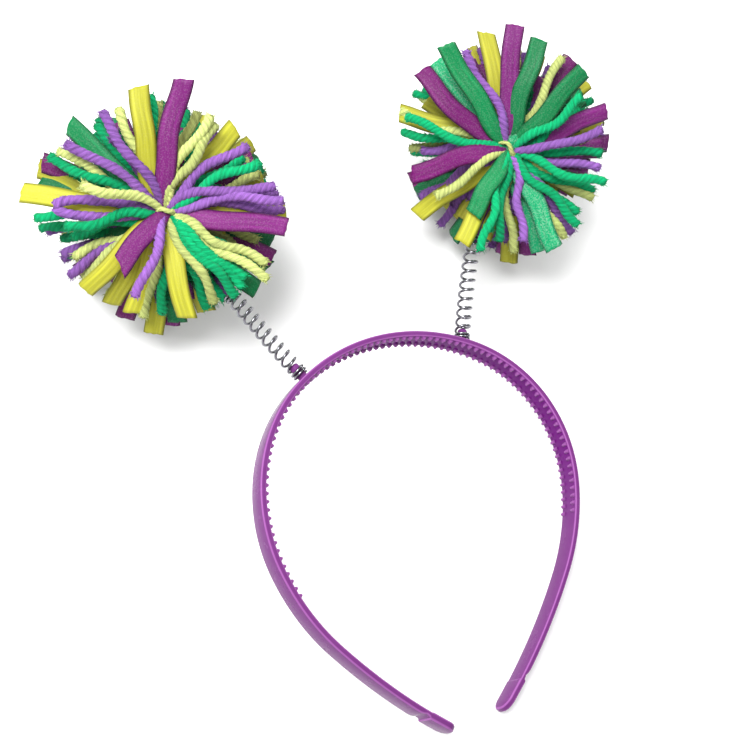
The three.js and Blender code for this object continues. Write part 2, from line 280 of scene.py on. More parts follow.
def plastic():
    """Glossy moulded plastic, a little uneven in colour and gloss, with faint flow ripples. It has painted
    shade on the toothed inner face and a painted highlight along its rounded edges."""
    material, tree, shader = surface(
        "purple_plastic", Specular_IOR_Level=0.05, Coat_Weight=0.02, Coat_Roughness=0.1)
    place = add_node(tree, "TexCoord")
    mottle = add_node(tree, "TexNoise", Scale=160.0, Detail=4.0, Roughness=0.6)
    ripple = add_node(tree, "TexNoise", Scale=420.0, Detail=2.0)
    tint = add_node(
        tree, "Mix", data_type="RGBA", A=paint(*PLASTIC_COLOURS[0]), B=paint(*PLASTIC_COLOURS[1]))
    inner = add_node(tree, "Attribute", attribute_name="inner")
    painted_shade = add_node(tree, "Mix", data_type="RGBA", B=paint(*INNER_PAINTED_SHADE))
    edge = add_node(tree, "Attribute", attribute_name="edge")
    painted_highlight = add_node(tree, "Mix", data_type="RGBA", B=paint(*EDGE_PAINTED_HIGHLIGHT))
    gloss = add_node(tree, "MapRange", To_Min=0.18, To_Max=0.34)
    bump = add_node(tree, "Bump", Strength=0.08, Distance=0.0003)
    link(place, "Object", mottle, "Vector")
    link(place, "Object", ripple, "Vector")
    link(mottle, "Fac", tint, "Factor")
    link(tint, "Result", painted_shade, "A")
    link(inner, "Fac", painted_shade, "Factor")
    link(painted_shade, "Result", painted_highlight, "A")
    link(edge, "Fac", painted_highlight, "Factor")
    link(painted_highlight, "Result", shader, "Base Color")
    link(mottle, "Fac", gloss, "Value")
    link(gloss, "Result", shader, "Roughness")
    link(ripple, "Fac", bump, "Height")
    link(bump, "Normal", shader, "Normal")
    return material


hoop_plastic = plastic()


def moulded(piece):
    """Finishes a piece of the hoop's moulding: shaded smooth, in the hoop's plastic, on the hoop's body."""
    bpy.ops.object.select_all(action="DESELECT")
    piece.select_set(True)
    bpy.context.view_layer.objects.active = piece
    bpy.ops.object.shade_smooth_by_angle(angle=SMOOTH_BELOW)
    piece.data.materials.append(hoop_plastic)
    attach(piece, "hoop")


hoop = block("hoop_strip", 2 * (HOOP_REACH - HOOP_END), HOOP_WIDTH, HOOP_THICKNESS)
pick_edges(hoop, runs_along)
bpy.ops.mesh.bevel(offset=EDGE_ROUND, segments=3, affect="EDGES")
for cuts in HOOP_CUTS:
    pick_edges(hoop, runs_along)
    bpy.ops.mesh.subdivide(number_cuts=cuts)
bpy.ops.object.mode_set(mode="OBJECT")
strip = corners_of(hoop)
flare = np.clip((np.abs(strip[:, 0]) - FLARE_FROM) / (HOOP_REACH - FLARE_FROM), 0, 1)
flare = flare * flare * (3 - 2 * flare)
strip[:, 1] *= 1 + flare * (TIP_WIDTH / HOOP_WIDTH - 1)
# Painted shade on the inner face near the crown, and a painted highlight on the rounded edges.
is_inner = strip[:, 2] < EDGE_ROUND - HOOP_THICKNESS / 2
fade = np.clip((INNER_FADES[1] - np.abs(strip[:, 0])) / (INNER_FADES[1] - INNER_FADES[0]), 0, 1)
mark(hoop, "inner", is_inner * fade)
mark(hoop, "edge", on_rounding(strip[:, 2], HOOP_THICKNESS, EDGE_ROUND))
to_groove = (np.abs(strip[:, 0]) - HOOP_REACH + GROOVE_FROM_END) / GROOVE_LENGTH
strip[:, 2] -= GROOVE_DEPTH * np.exp(-to_groove ** 2) * (strip[:, 2] > 0)
strip[:, 2] -= HOOP_THICKNESS / 2
move_corners(hoop, strip)
bend_on_to_hoop(hoop)
moulded(hoop)
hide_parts("band")


# End pads: the slightly thicker, rounded ends of the legs, of the hoop's plastic and moulded in one
# with the strip. A shallow groove runs across its outer face before them.
PAD_LENGTH = 11.0
PAD_WIDTH = TIP_WIDTH + 0.2
PAD_THICKNESS = 2.4
PAD_ROUND = 0.7
PAD_END_ROUND = 3.9

for sign, side in ((-1, "left"), (1, "right")):
    pad = block(f"end_pad_{side}", PAD_LENGTH, PAD_WIDTH, PAD_THICKNESS)
    pick_edges(pad, lambda a, b: a.x * sign > 0 and b.x * sign > 0 and abs(a.z - b.z) > PAD_THICKNESS / 2)
    bpy.ops.mesh.bevel(offset=PAD_END_ROUND, segments=8, affect="EDGES")
    pick_edges(pad, lambda a, b: abs(a.z - b.z) < PAD_THICKNESS / 2)
    bpy.ops.mesh.bevel(offset=PAD_ROUND, segments=3, affect="EDGES", clamp_overlap=True)
    bpy.ops.object.mode_set(mode="OBJECT")
    shape = corners_of(pad)
    # Painted highlight along the pad's rounded edges.
    mark(pad, "edge", on_rounding(shape[:, 2], PAD_THICKNESS, PAD_ROUND))
    shape[:, 0] += sign * (HOOP_REACH - PAD_LENGTH / 2)
    shape[:, 2] -= HOOP_THICKNESS / 2
    move_corners(pad, shape)
    bend_on_to_hoop(pad)
    moulded(pad)


# Comb teeth: two rows of blunt wedges that hold the hair, of the hoop's plastic and moulded in one with
# its inner face. One wedge is modelled and repeated along the strip, and all are bent with it.
TOOTH_PITCH = 2.6
TOOTH_LENGTH = 1.9
TOOTH_HEIGHT = 0.9
TOOTH_WIDTH = 1.8
TOOTH_ROOT = 0.3
TOOTH_ROUND = 0.22
TOOTH_CREST = 0.3
# Painted highlight on the teeth's crests: how far from their tips it reaches, and how strong it is.
TOOTH_HIGHLIGHT_DEPTH = 0.3
TOOTH_HIGHLIGHT = 0.7
TOOTH_ROWS = (-3.0, 3.0)
TEETH_REACH = 110.0

tooth = block("tooth", TOOTH_LENGTH, TOOTH_WIDTH, TOOTH_HEIGHT + TOOTH_ROOT)
shape = corners_of(tooth)
shape[:, 0] *= np.where(shape[:, 2] < 0, TOOTH_CREST, 1.0)
move_corners(tooth, shape)
pick_edges(tooth, lambda a, b: a.z < 0 or b.z < 0)
bpy.ops.mesh.bevel(offset=TOOTH_ROUND, segments=2, affect="EDGES")
bpy.ops.object.mode_set(mode="OBJECT")
tooth_shape = corners_of(tooth)
tooth_shape[:, 2] += (TOOTH_ROOT - TOOTH_HEIGHT) / 2 - HOOP_THICKNESS
tooth_faces = [list(face.vertices) for face in tooth.data.polygons]
bpy.data.objects.remove(tooth)

tooth_count = int(TEETH_REACH / TOOTH_PITCH)
teeth_points = []
teeth_faces = []
for row in TOOTH_ROWS:
    for number in range(-tooth_count, tooth_count + 1):
        first = len(teeth_points) * len(tooth_shape)
        teeth_points.append(tooth_shape + np.array([number * TOOTH_PITCH, row, 0.0]))
        teeth_faces += [[first + corner for corner in face] for face in tooth_faces]
teeth = bpy.data.objects.new("comb_teeth", bpy.data.meshes.new("comb_teeth"))
teeth.data.from_pydata(np.concatenate(teeth_points).tolist(), [], teeth_faces)
# Painted highlight on the teeth's crests.
mark(teeth, "edge", TOOTH_HIGHLIGHT * (corners_of(teeth)[:, 2] < TOOTH_HIGHLIGHT_DEPTH - HOOP_THICKNESS - TOOTH_HEIGHT))
bpy.context.scene.collection.objects.link(teeth)
bpy.context.view_layer.objects.active = teeth
bend_on_to_hoop(teeth)
moulded(teeth)


# Spring pegs: short round posts with domed tops, of the hoop's plastic and moulded in one with its
# outer face on both sides of the crown. The springs' lowest coils grip them.
PEG_ALONG = 31.85
PEG_RADIUS = 1.65
PEG_HEIGHT = 5.0
PEG_ROOT = 1.0
PEG_DOME = 0.9
PEG_SIDES = 28


def peg_seat(sign):
    """The middle of a peg's foot and the way that the peg stands, in the hoop's own frame."""
    x, y, turn = hoop_turn(PEG_ALONG)
    foot = np.array([sign * x, y, -TIP_DROP * (y / TIP_LEVEL) ** 2])
    return foot, np.array([sign * np.sin(turn), np.cos(turn), 0.0])


for sign, side in ((-1, "left"), (1, "right")):
    bpy.ops.object.select_all(action="DESELECT")
    bpy.ops.mesh.primitive_cylinder_add(vertices=PEG_SIDES, radius=PEG_RADIUS, depth=PEG_HEIGHT + PEG_ROOT)
    peg = bpy.context.object
    peg.name = f"spring_peg_{side}"
    pick_edges(peg, lambda a, b: a.z > 0 and b.z > 0)
    bpy.ops.mesh.bevel(offset=PEG_DOME, segments=4, affect="EDGES")
    bpy.ops.object.mode_set(mode="OBJECT")
    shape = corners_of(peg)
    shape[:, 2] += (PEG_HEIGHT - PEG_ROOT) / 2
    foot, outward = peg_seat(sign)
    beside = np.array([outward[1], -outward[0], 0.0])
    turned = shape @ np.stack([beside, np.array([0.0, 0.0, -1.0]), outward])
    move_corners(peg, lie(turned + foot))
    moulded(peg)


# Springs: bright steel wire wound in close coils at both ends, which grip the peg and the pompom's
# stub, and in open coils between. They bend between the hoop and the swaying pompom.
WIRE_RADIUS = 0.45
COIL_RADIUS = 2.4
COIL_STEPS = 26
CLOSE_TURNS = 2
CLOSE_PITCH = 1.15
OPEN_TURNS = 10
SEAT_GAP = 0.3
SPRING_HEAD = 33.6
AXIS_STEPS = 400
STEEL_COLOURS = [(80, 80, 86), (164, 164, 170)]
SPRINGS = [
    {"side": "left", "sign": -1, "lean": 25.5, "lift": 0, "peg_to_centre": 69, "aside": 0, "slant": 18},
    {"side": "right", "sign": 1, "lean": 28.5, "lift": 16, "peg_to_centre": 71, "aside": 4, "slant": 14},
]


def unit(vector):
    """Vectors in the same directions, each of length one."""
    return vector / np.linalg.norm(vector, axis=-1, keepdims=True)


def spring_line(spring):
    """Where a spring starts and ends, which way it leaves its peg, and its pompom's centre."""
    lean, lift = math.radians(spring["lean"]), math.radians(spring["lift"])
    sign = spring["sign"]
    peg, out = peg_seat(sign)
    towards = np.array([
        sign * math.sin(lean) * math.cos(lift),
        math.cos(lean) * math.cos(lift),
        math.sin(lift),
    ])
    centre = peg + towards * spring["peg_to_centre"]
    inwards = unit(np.cross(towards, [0.0, 0.0, 1.0])) * -sign
    head = centre - towards * SPRING_HEAD + inwards * spring["aside"]
    return {"foot": peg + out * (SEAT_GAP + WIRE_RADIUS), "out": out, "head": head,
            "towards": towards, "centre": centre}


def coil(line, slant):
    """Points of the wire's centre line, in the hoop's own frame. The open coils slant."""
    third = np.linalg.norm(line["head"] - line["foot"]) / 3
    knots = np.stack([line["foot"], line["foot"] + line["out"] * third,
                      line["head"] - line["towards"] * third, line["head"]])
    t = np.linspace(0, 1, AXIS_STEPS)[:, None]
    axis = ((1 - t) ** 3 * knots[0] + 3 * t * (1 - t) ** 2 * knots[1]
            + 3 * t ** 2 * (1 - t) * knots[2] + t ** 3 * knots[3])
    run = np.concatenate([[0.0], np.cumsum(np.linalg.norm(np.diff(axis, axis=0), axis=1))])
    ahead = unit(np.gradient(axis, axis=0))
    turns = OPEN_TURNS + 2 * CLOSE_TURNS
    turn = np.linspace(0, turns, turns * COIL_STEPS + 1)
    open_pitch = (run[-1] - 2 * CLOSE_TURNS * CLOSE_PITCH) / OPEN_TURNS
    climb = (np.minimum(turn, CLOSE_TURNS) * CLOSE_PITCH
             + np.clip(turn - CLOSE_TURNS, 0, OPEN_TURNS) * open_pitch
             + np.maximum(turn - CLOSE_TURNS - OPEN_TURNS, 0) * CLOSE_PITCH)
    middle = np.stack([np.interp(climb, run, axis[:, i]) for i in range(3)], axis=-1)
    forward = unit(np.stack([np.interp(climb, run, ahead[:, i]) for i in range(3)], axis=-1))
    side = unit(np.cross(forward, [0.0, 0.0, 1.0]))
    above = np.cross(side, forward)
    angle = -2 * math.pi * turn[:, None]
    opened = np.clip(np.minimum(turn, turns - turn) - CLOSE_TURNS, 0, 1)[:, None]
    above = above + forward * math.tan(math.radians(slant)) * opened
    return middle + COIL_RADIUS * (np.cos(angle) * side + np.sin(angle) * above)


def steel():
    """Drawn steel wire: bright metal with fine draw marks and a little dulling."""
    material, tree, shader = surface("spring_steel", Metallic=1.0)
    place = add_node(tree, "TexCoord")
    marks = add_node(tree, "TexNoise", Scale=2200.0, Detail=2.0)
    dull = add_node(tree, "TexNoise", Scale=350.0, Detail=3.0)
    tint = add_node(
        tree, "Mix", data_type="RGBA", A=paint(*STEEL_COLOURS[0]), B=paint(*STEEL_COLOURS[1]))
    gloss = add_node(tree, "MapRange", To_Min=0.1, To_Max=0.28)
    bump = add_node(tree, "Bump", Strength=0.12, Distance=0.00005)
    link(place, "Object", marks, "Vector")
    link(place, "Object", dull, "Vector")
    link(dull, "Fac", tint, "Factor")
    link(tint, "Result", shader, "Base Color")
    link(dull, "Fac", gloss, "Value")
    link(gloss, "Result", shader, "Roughness")
    link(marks, "Fac", bump, "Height")
    link(bump, "Normal", shader, "Normal")
    return material


wire_steel = steel()
for spring in SPRINGS:
    line = spring_line(spring)
    route = lie(coil(line, spring["slant"]))
    side = spring["side"]
    centre_line = bpy.data.curves.new(f"spring_wire_{side}", "CURVE")
    centre_line.dimensions = "3D"
    centre_line.bevel_depth = WIRE_RADIUS * MM
    centre_line.bevel_resolution = 2
    centre_line.use_fill_caps = True
    spline = centre_line.splines.new("POLY")
    spline.points.add(len(route) - 1)
    spline.points.foreach_set("co", np.column_stack([route, np.ones(len(route))]).ravel())
    wire = bpy.data.objects.new(f"spring_wire_{side}", centre_line)
    bpy.context.scene.collection.objects.link(wire)
    bpy.ops.object.select_all(action="DESELECT")
    wire.select_set(True)
    bpy.context.view_layer.objects.active = wire
    bpy.ops.object.convert(target="MESH")
    wire = bpy.context.object
    bpy.ops.object.shade_smooth()
    wire.data.materials.append(wire_steel)
    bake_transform(wire)
    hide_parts(f"spring_{side}")


# Pompoms: lengths of plied acrylic yarn and satin ribbon laid across each other, tied in the middle
# and fluffed out into a ball. The tie's twisted ends make the stub that fills the spring's head.
STRANDS_SEED = 40
YARN_RADIUS = 1.6
YARN_PLIES = 3
PLY_CORNERS = 4
PLY_PITCH = 5.6
PITCH_STRAY = (0.85, 1.3)
PLY_GROOVE = 0.88
PLY_BULGE = 0.7
YARN_STEP = 0.75
FEWEST_RINGS = 8
RINGS_BUNCHED = 0.97
YARN_ROOT = 9.0
ROOT_SHARE = 0.5
END_LENGTH = 0.6
END_ROUNDED = 0.22
YARN_FLAT = 0.86
YARN_LUMP = 0.07
LUMP_PITCH = 8.0
LUMP_PHASES = (0.0, 6.0)
SECOND_LUMP = 4.7
FIBRES = {"count": 80, "length": 1.5, "radius": 0.05, "forward": 0.0}
FRAYED_END = {"count": 22, "length": 1.7, "radius": 0.13, "forward": 2.2}
FRAYED_RINGS = 3
FIBRE_LEAN = 1.2
FIBRE_STRAY = 0.4
FIBRE_LENGTHS = (0.4, 1.0)
RIBBON_WIDTH = 6.5
RIBBON_THICKNESS = 0.3
RIBBON_CORNERS = 7
RIBBON_STEP = 1.3
RIBBON_BOW = (0.08, 0.45)
RIBBON_TWIST = 0.5
RIBBON_RAGGED = 0.45
CUT_STRAY = 0.045
# The ribbon is darker along both edges, and painted shade darkens it near the knot by GATHER_SHADE.
DARK_EDGE_FROM = 0.95
DARK_EDGE_TONE = 0.42
GATHER_REACH = 14.0
GATHER_EASE = 1.5
GATHER_FOLD = 1.9
GATHER_NARROW = 0.25
GATHER_SHADE = 0.35
PLEATS = 3
PLEAT_DEPTH = 0.35
PLEAT_REACH = 13.0
PATH_STEPS = 48
ROOT = -2.5
SWING = 7.0
SWING_FADE = 1.5
WAVES = {"yarn": 1.5, "ribbon": 0.7}
WAVE_COUNTS = (0.7, 1.6)
LOOP_HALF = 2.5
LOOP_CLOSED = 8.0
TINY = 1e-6
TIE_THICK = 0.6
# Layers of strands: how high over the middle they start and end, how far they arch between, and how
# light they are: painted shade darkens the deeper layers, painted light brightens the top one and the knot.
# The last two are for the knot and for strands that pass over a spring's head.
LAYERS = [
    {"start": 10.0, "end": 20.0, "arch": 2.0, "tone": 1.05},
    {"start": 9.0, "end": 14.0, "arch": 3.0, "tone": 1.0},
    {"start": 6.5, "end": 6.0, "arch": 3.5, "tone": 0.94},
    {"start": 3.0, "end": -3.0, "arch": 3.0, "tone": 0.72},
    {"start": 10.5, "end": 10.5, "arch": 2.6, "tone": 1.05},
    {"start": 8.0, "end": 19.0, "arch": 2.0, "tone": 1.0},
]
LOWEST_LAYER = 3
TWINNED = ("green_yarn",)
TWIN_ASIDE = (4.0, 8.0)
TWIN_SHORT = (-1.0, 3.0)
TONE_STRAY = (0.78, 1.14)
STUB_RADIUS = 1.6
STUB_TONE = 0.5
TIE_SHIFT = {"left": (1.6, 0.5, 0.0), "right": (1.0, 0.5, 0.0)}
# Rings of strands that fill the ball below the charted ones: where their ends lie, and how light they
# are in the shade of the rest.
FILL_RINGS = [
    {"height": 2.5, "reach": 26.0, "count": 18, "tone": 0.62},
    {"height": 1.0, "reach": 32.5, "count": 24, "tone": 0.62},
    {"height": -7.0, "reach": 34.5, "count": 28, "tone": 0.66},
    {"height": -15.0, "reach": 34.0, "count": 24, "tone": 0.8},
    {"height": -22.5, "reach": 30.5, "count": 20, "tone": 0.9},
    {"height": -29.0, "reach": 25.0, "count": 15, "tone": 0.9},
    {"height": -33.5, "reach": 16.5, "count": 10, "tone": 0.9},
    {"height": -36.5, "reach": 6.5, "count": 4, "tone": 0.9},
]
FILL_STEP = 1.3
FILL_ASIDE = 0.3
FILL_START = 4.0
FILL_SINK = 0.2
FILL_ARCH = 1.5
FILL_RISE = 2.0
FILL_STRAY = (-6.0, 2.5)
FILL_THIN = {"left": (0, 0), "right": (98, 150)}
FILL_THIN_BY = 6.0
FILL_MIX = {
    "purple_yarn": 0.12, "green_yarn": 0.24, "lime_yarn": 0.22,
    "purple_ribbon": 0.12, "green_ribbon": 0.15, "yellow_ribbon": 0.15,
}
# The strands that face up, charted one by one: degrees clockwise from the top of the tie, how far they
# reach from it in millimetres, and which layer they lie in. The rest of a row is optional.
COLUMNS = ("clock", "reach", "layer", "swing", "root", "cut")
CHARTS = {
    "left": {
        "purple_yarn": [
            (-32, 35, 1, 6), (-56, 35.5, 1, 8), (-101, 37, 3), (-114, 34.5, 3), (-125, 35.5, 2),
            (-161, 27.5, 0), (-175, 34.5, 3), (83, 36.5, 1, -16), (75.5, 35, 1, -32), (79.5, 36, 2, -26),
            (87.5, 37.5, 2, -12), (50.5, 32.5, 1, -22),
        ],
        "green_yarn": [
            (-7, 36, 2), (-65, 38.5, 2), (-94, 39, 2), (-100, 30, 1), (-179, 32, 2), (156, 33, 2),
            (139.5, 34, 1, 0), (133.5, 33.5, 1, 0), (145, 33.5, 2, 0), (128.5, 32, 1, 0), (72, 34, 3),
            (61.5, 33, 1, -12), (12, 33, 3), (-38, 34, 3),
        ],
        "lime_yarn": [
            (-24, 34, 2), (-61, 36.5, 2), (-73, 25.5, 0, 12, -1.5), (-118, 31, 2), (-130, 32.5, 2),
            (-169, 34, 2), (151, 32, 1, -4), (122.5, 37.5, 1, 0), (116, 35, 1, 0), (67, 32, 2), (57, 32, 3),
            (30, 31, 1, -20), (25, 32.5, 1, -18), (18, 32.5, 2, -14), (-3, 34.5, 3),
        ],
        "purple_ribbon": [
            (8, 40, 0, -18), (-142, 23.5, 0, 4, -5, 0.14), (177, 37, 3), (95.5, 38.5, 1),
        ],
        "plum_ribbon": [(-69, 41, 3), (-160, 37, 3), (112, 38.5, 3), (55, 34.5, 3)],
        "green_ribbon": [
            (-77, 40, 3), (-48.5, 39.5, 2), (173, 36.5, 3), (129, 38.5, 2), (118, 38.5, 3), (103, 37, 3),
        ],
        "yellow_ribbon": [
            (-11.5, 39, 1, -18), (-72, 41.5, 3), (-83.5, 44, 2), (-136, 34.5, 1), (-151, 34, 2),
            (-163, 34, 2), (-175, 39.5, 3), (168, 34, 1), (157, 35, 3), (89, 38.5, 2), (39.5, 35, 2),
        ],
        "loops": [(-88.5, 32.5, 1)],
        "tie": [(64, 4.5, 4, 0, -4.0)],
    },
    "right": {
        "purple_yarn": [
            (-16, 36, 3), (-24, 36, 1, 14), (-90, 30.5, 2), (-118, 35, 2), (-137, 36.5, 3),
            (-170, 35.5, 3), (171, 32, 1, -14), (143, 37, 2), (116, 31.5, 3), (103, 32, 2),
            (79.5, 32, 1, 34), (27, 31.5, 3), (10, 33, 3),
        ],
        "green_yarn": [
            (-59, 39, 3), (-72, 37, 1, -10), (-164, 35.5, 0, 0), (-174, 31.5, 1), (138, 35.5, 1),
            (110, 35, 1, 14), (94, 32, 2), (55, 29.5, 1, 22),
        ],
        "lime_yarn": [
            (-59, 36, 3), (-70, 40, 2), (-122, 29.5, 1), (177.5, 36, 2), (148, 36.5, 2), (121, 34, 2),
            (31, 35.5, 2), (6, 33.5, 3),
        ],
        "purple_ribbon": [
            (3, 41, 1, -12), (-154, 28.5, 2), (170, 39, 3), (-177, 38.5, 3), (70.5, 36, 2),
        ],
        "plum_ribbon": [
            (-47.5, 40.5, 1, -22), (-104, 34.5, 0, 10), (-107, 37, 3), (92, 33, 3), (35, 38, 3),
        ],
        "green_ribbon": [
            (-31, 41, 0, -5), (-114, 37, 3), (-147, 38, 3), (-151, 25.5, 0), (-165, 33.5, 3),
            (45, 36, 1, 6), (15.5, 38, 1),
        ],
        "mint_ribbon": [(-39, 39.5, 2), (163, 38, 2), (155.5, 38, 1), (50, 5.2, 4, 0, -2.0)],
        "yellow_ribbon": [
            (-11, 41, 2), (-21, 38.5, 3), (-71, 41, 2), (-125, 40, 2), (-153, 35.5, 5, 0), (180, 41, 3),
            (78, 33.5, 3), (50, 35.5, 3),
        ],
        "loops": [],
        "tie": [(122, 5.0, 4, 0, -5.0)],
    },
}
YARN_COLOURS = {
    "purple_yarn": (146, 98, 178),
    "green_yarn": (18, 172, 110),
    "lime_yarn": (203, 214, 130),
}
RIBBON_COLOURS = {
    "purple_ribbon": (118, 32, 112),
    "plum_ribbon": (114, 18, 104),
    "green_ribbon": (8, 118, 66),
    "yellow_ribbon": (184, 182, 54),
    "mint_ribbon": (12, 150, 96),
}
GLITTER = {
    "purple_ribbon": 0.13, "plum_ribbon": 0.12, "green_ribbon": 0.13, "yellow_ribbon": 0.06,
    "mint_ribbon": 0.5,
}


def strand_group(name, inputs, outputs):
    """An empty node group for strands with those sockets, and the nodes of its two ends."""
    group = bpy.data.node_groups.new(name, "ShaderNodeTree")
    for way, sockets in (("INPUT", inputs), ("OUTPUT", outputs)):
        for socket, kind in sockets.items():
            group.interface.new_socket(socket, in_out=way, socket_type="NodeSocket" + kind)
    return group, group.nodes.new("NodeGroupInput"), group.nodes.new("NodeGroupOutput")


def yarn_fibre_group():
    """Plied fibre: painted shade in the grooves between plies, streaked along the twist."""
    group, given, made = strand_group(
        "yarn_fibre", {"Colour": "Color"}, {"Colour": "Color", "Height": "Float"})
    along = add_node(group, "UVMap", uv_map="strand")
    stretch = add_node(group, "Mapping", Scale=(3200.0, 380.0, 1.0))
    streak = add_node(group, "TexNoise", Scale=1.0, Detail=3.0)
    groove = add_node(group, "Attribute", attribute_name="groove")
    tone = add_node(group, "Attribute", attribute_name="tone")
    # Painted shade in the grooves between plies.
    depth = add_node(group, "MapRange", To_Min=0.78, To_Max=1.0)
    fleck = add_node(group, "MapRange", From_Min=0.3, From_Max=0.7, To_Min=0.6, To_Max=1.36)
    shade = add_node(group, "Math", operation="MULTIPLY")
    shades = add_node(group, "Math", operation="MULTIPLY")
    colour = add_node(group, "VectorMath", operation="SCALE")
    link(along, "UV", stretch, "Vector")
    link(stretch, "Vector", streak, "Vector")
    link(groove, "Fac", depth, "Value")
    link(streak, "Fac", fleck, "Value")
    link(depth, "Result", shade, 0)
    link(fleck, "Result", shade, 1)
    link(shade, "Value", shades, 0)
    link(tone, "Fac", shades, 1)
    link(given, "Colour", colour, "Vector")
    link(shades, "Value", colour, "Scale")
    link(colour, "Vector", made, "Colour")
    link(streak, "Fac", made, "Height")
    return group


def yarn_material(name, colour, group):
    """Soft acrylic yarn: matt, a little fuzzy at grazing angles, with the plied fibre's streaks."""
    material, tree, shader = surface(
        name, Roughness=0.95, Specular_IOR_Level=0.08, Sheen_Weight=0.05, Sheen_Roughness=0.5)
    fibre = tree.nodes.new("ShaderNodeGroup")
    fibre.node_tree = group
    fibre.inputs["Colour"].default_value = paint(*colour)
    bump = add_node(tree, "Bump", Strength=0.8, Distance=0.0004)
    link(fibre, "Colour", shader, "Base Color")
    link(fibre, "Height", bump, "Height")
    link(bump, "Normal", shader, "Normal")
    return material


def ribbon_weave_group():
    """Glitter satin: fine cross threads, streaks of painted sheen along it, darker along both edges, painted
    shade near the knot, and specks of glitter.
    """
    group, given, made = strand_group(
        "ribbon_weave", {"Colour": "Color", "Glitter": "Float"},
        {"Colour": "Color", "Roughness": "Float", "Height": "Float"})
    along = add_node(group, "UVMap", uv_map="strand")
    threads = add_node(group, "TexWave", bands_direction="Y", Scale=900.0, Distortion=0.6, Detail=1.0)
    specks = add_node(group, "TexVoronoi", Scale=3600.0)
    pick = add_node(group, "SeparateColor")
    bright = add_node(group, "MapRange", From_Min=0.55, From_Max=0.98)
    speckle = add_node(group, "Math", operation="MULTIPLY")
    # Lengthwise streaks of painted sheen and shade on the satin.
    stretch = add_node(group, "Mapping", Scale=(1300.0, 50.0, 1.0))
    cloud = add_node(group, "TexNoise", Scale=1.0, Detail=4.0)
    painted_sheen_streaks = add_node(group, "MapRange", From_Min=0.3, From_Max=0.7, To_Min=0.76, To_Max=1.24)
    tone = add_node(group, "Attribute", attribute_name="tone")
    # Darkening along the ribbon's edges, and painted shade near the knot.
    dark_edges_and_shade = add_node(group, "Attribute", attribute_name="groove")
    shade = add_node(group, "Math", operation="MULTIPLY")
    shades = add_node(group, "Math", operation="MULTIPLY")
    colour = add_node(group, "VectorMath", operation="SCALE")
    glint = add_node(group, "Mix", data_type="RGBA", Factor=0.35, B=(0.95, 0.95, 0.95, 1.0))
    lit = add_node(group, "Mix", data_type="RGBA")
    gloss = add_node(group, "MapRange", To_Min=0.5, To_Max=0.2)
    for pattern in (threads, specks, stretch):
        link(along, "UV", pattern, "Vector")
    link(stretch, "Vector", cloud, "Vector")
    link(specks, "Color", pick, "Color")
    link(pick, "Red", bright, "Value")
    link(bright, "Result", speckle, 0)
    link(given, "Glitter", speckle, 1)
    link(cloud, "Fac", painted_sheen_streaks, "Value")
    link(painted_sheen_streaks, "Result", shade, 0)
    link(tone, "Fac", shade, 1)
    link(shade, "Value", shades, 0)
    link(dark_edges_and_shade, "Fac", shades, 1)
    link(given, "Colour", colour, "Vector")
    link(shades, "Value", colour, "Scale")
    link(given, "Colour", glint, "A")
    link(glint, "Result", lit, "B")
    link(colour, "Vector", lit, "A")
    link(speckle, "Value", lit, "Factor")
    link(lit, "Result", made, "Colour")
    link(speckle, "Value", gloss, "Value")
    link(gloss, "Result", made, "Roughness")
    link(threads, "Fac", made, "Height")
    return group


def ribbon_material(name, colour, glitter, group):
    """Satin ribbon: soft sheen across the threads, with a sprinkle of glitter."""
    material, tree, shader = surface(name, Specular_IOR_Level=0.18, Anisotropic=0.5)
    weave = tree.nodes.new("ShaderNodeGroup")
    weave.node_tree = group
    weave.inputs["Colour"].default_value = paint(*colour)
    weave.inputs["Glitter"].default_value = glitter
    bump = add_node(tree, "Bump", Strength=0.25, Distance=0.0001)
    link(weave, "Colour", shader, "Base Color")
    link(weave, "Roughness", shader, "Roughness")
    link(weave, "Height", bump, "Height")
    link(bump, "Normal", shader, "Normal")
    return material


def tie_frame(centre):
    """The tie faces the eye, with the view's own up and right round it."""
    axis = unit(np.array(EYE) - centre)
    up = unit(np.array(VIEW_UP) - axis * np.dot(np.array(VIEW_UP), axis))
    return np.stack([np.cross(up, axis), up, axis])


def from_tie(clock, reach, height):
    """Points round the tie, in millimetres: right, up and towards the eye."""
    return np.stack([reach * np.sin(clock), reach * np.cos(clock), height], axis=-1)


def spread_path(strand, wave, draw):
    """A strand that leaves the knot, arches over its neighbours, and swings and waves a little."""
    layer = strand["layer"]
    share = np.linspace(0, 1, PATH_STEPS)
    height = layer["start"] + (layer["end"] - layer["start"]) * share
    height += layer["arch"] * np.sin(math.pi * share)
    turn = np.radians(strand["clock"] + strand["swing"] * (1 - share) ** SWING_FADE)
    path = from_tie(turn, strand["root"] + (strand["reach"] - strand["root"]) * share, height)
    phase = draw.uniform(0, 2 * math.pi, 2)
    count = draw.uniform(*WAVE_COUNTS, 2)
    sway = wave * np.sin(math.pi * share) * np.sin(2 * math.pi * count[0] * share + phase[0])
    path += sway[:, None] * np.stack([np.cos(turn), -np.sin(turn), 0 * turn], axis=-1)
    path[:, 2] += wave * share * np.sin(2 * math.pi * count[1] * share + phase[1])
    return path


def loop_path(strand):
    """A strand that runs out, turns round and runs back to the knot, as an uncut loop."""
    layer = strand["layer"]
    share = np.linspace(0, 1, 2 * PATH_STEPS)
    out = strand["root"] + (strand["reach"] - strand["root"]) * np.sin(math.pi * share)
    aside = LOOP_HALF * np.sin(2 * math.pi * share)
    height = layer["start"] + (layer["end"] - layer["start"]) * np.sin(math.pi * share)
    turn = math.radians(strand["clock"])
    return np.stack([
        out * math.sin(turn) + aside * math.cos(turn),
        out * math.cos(turn) - aside * math.sin(turn),
        height,
    ], axis=-1)


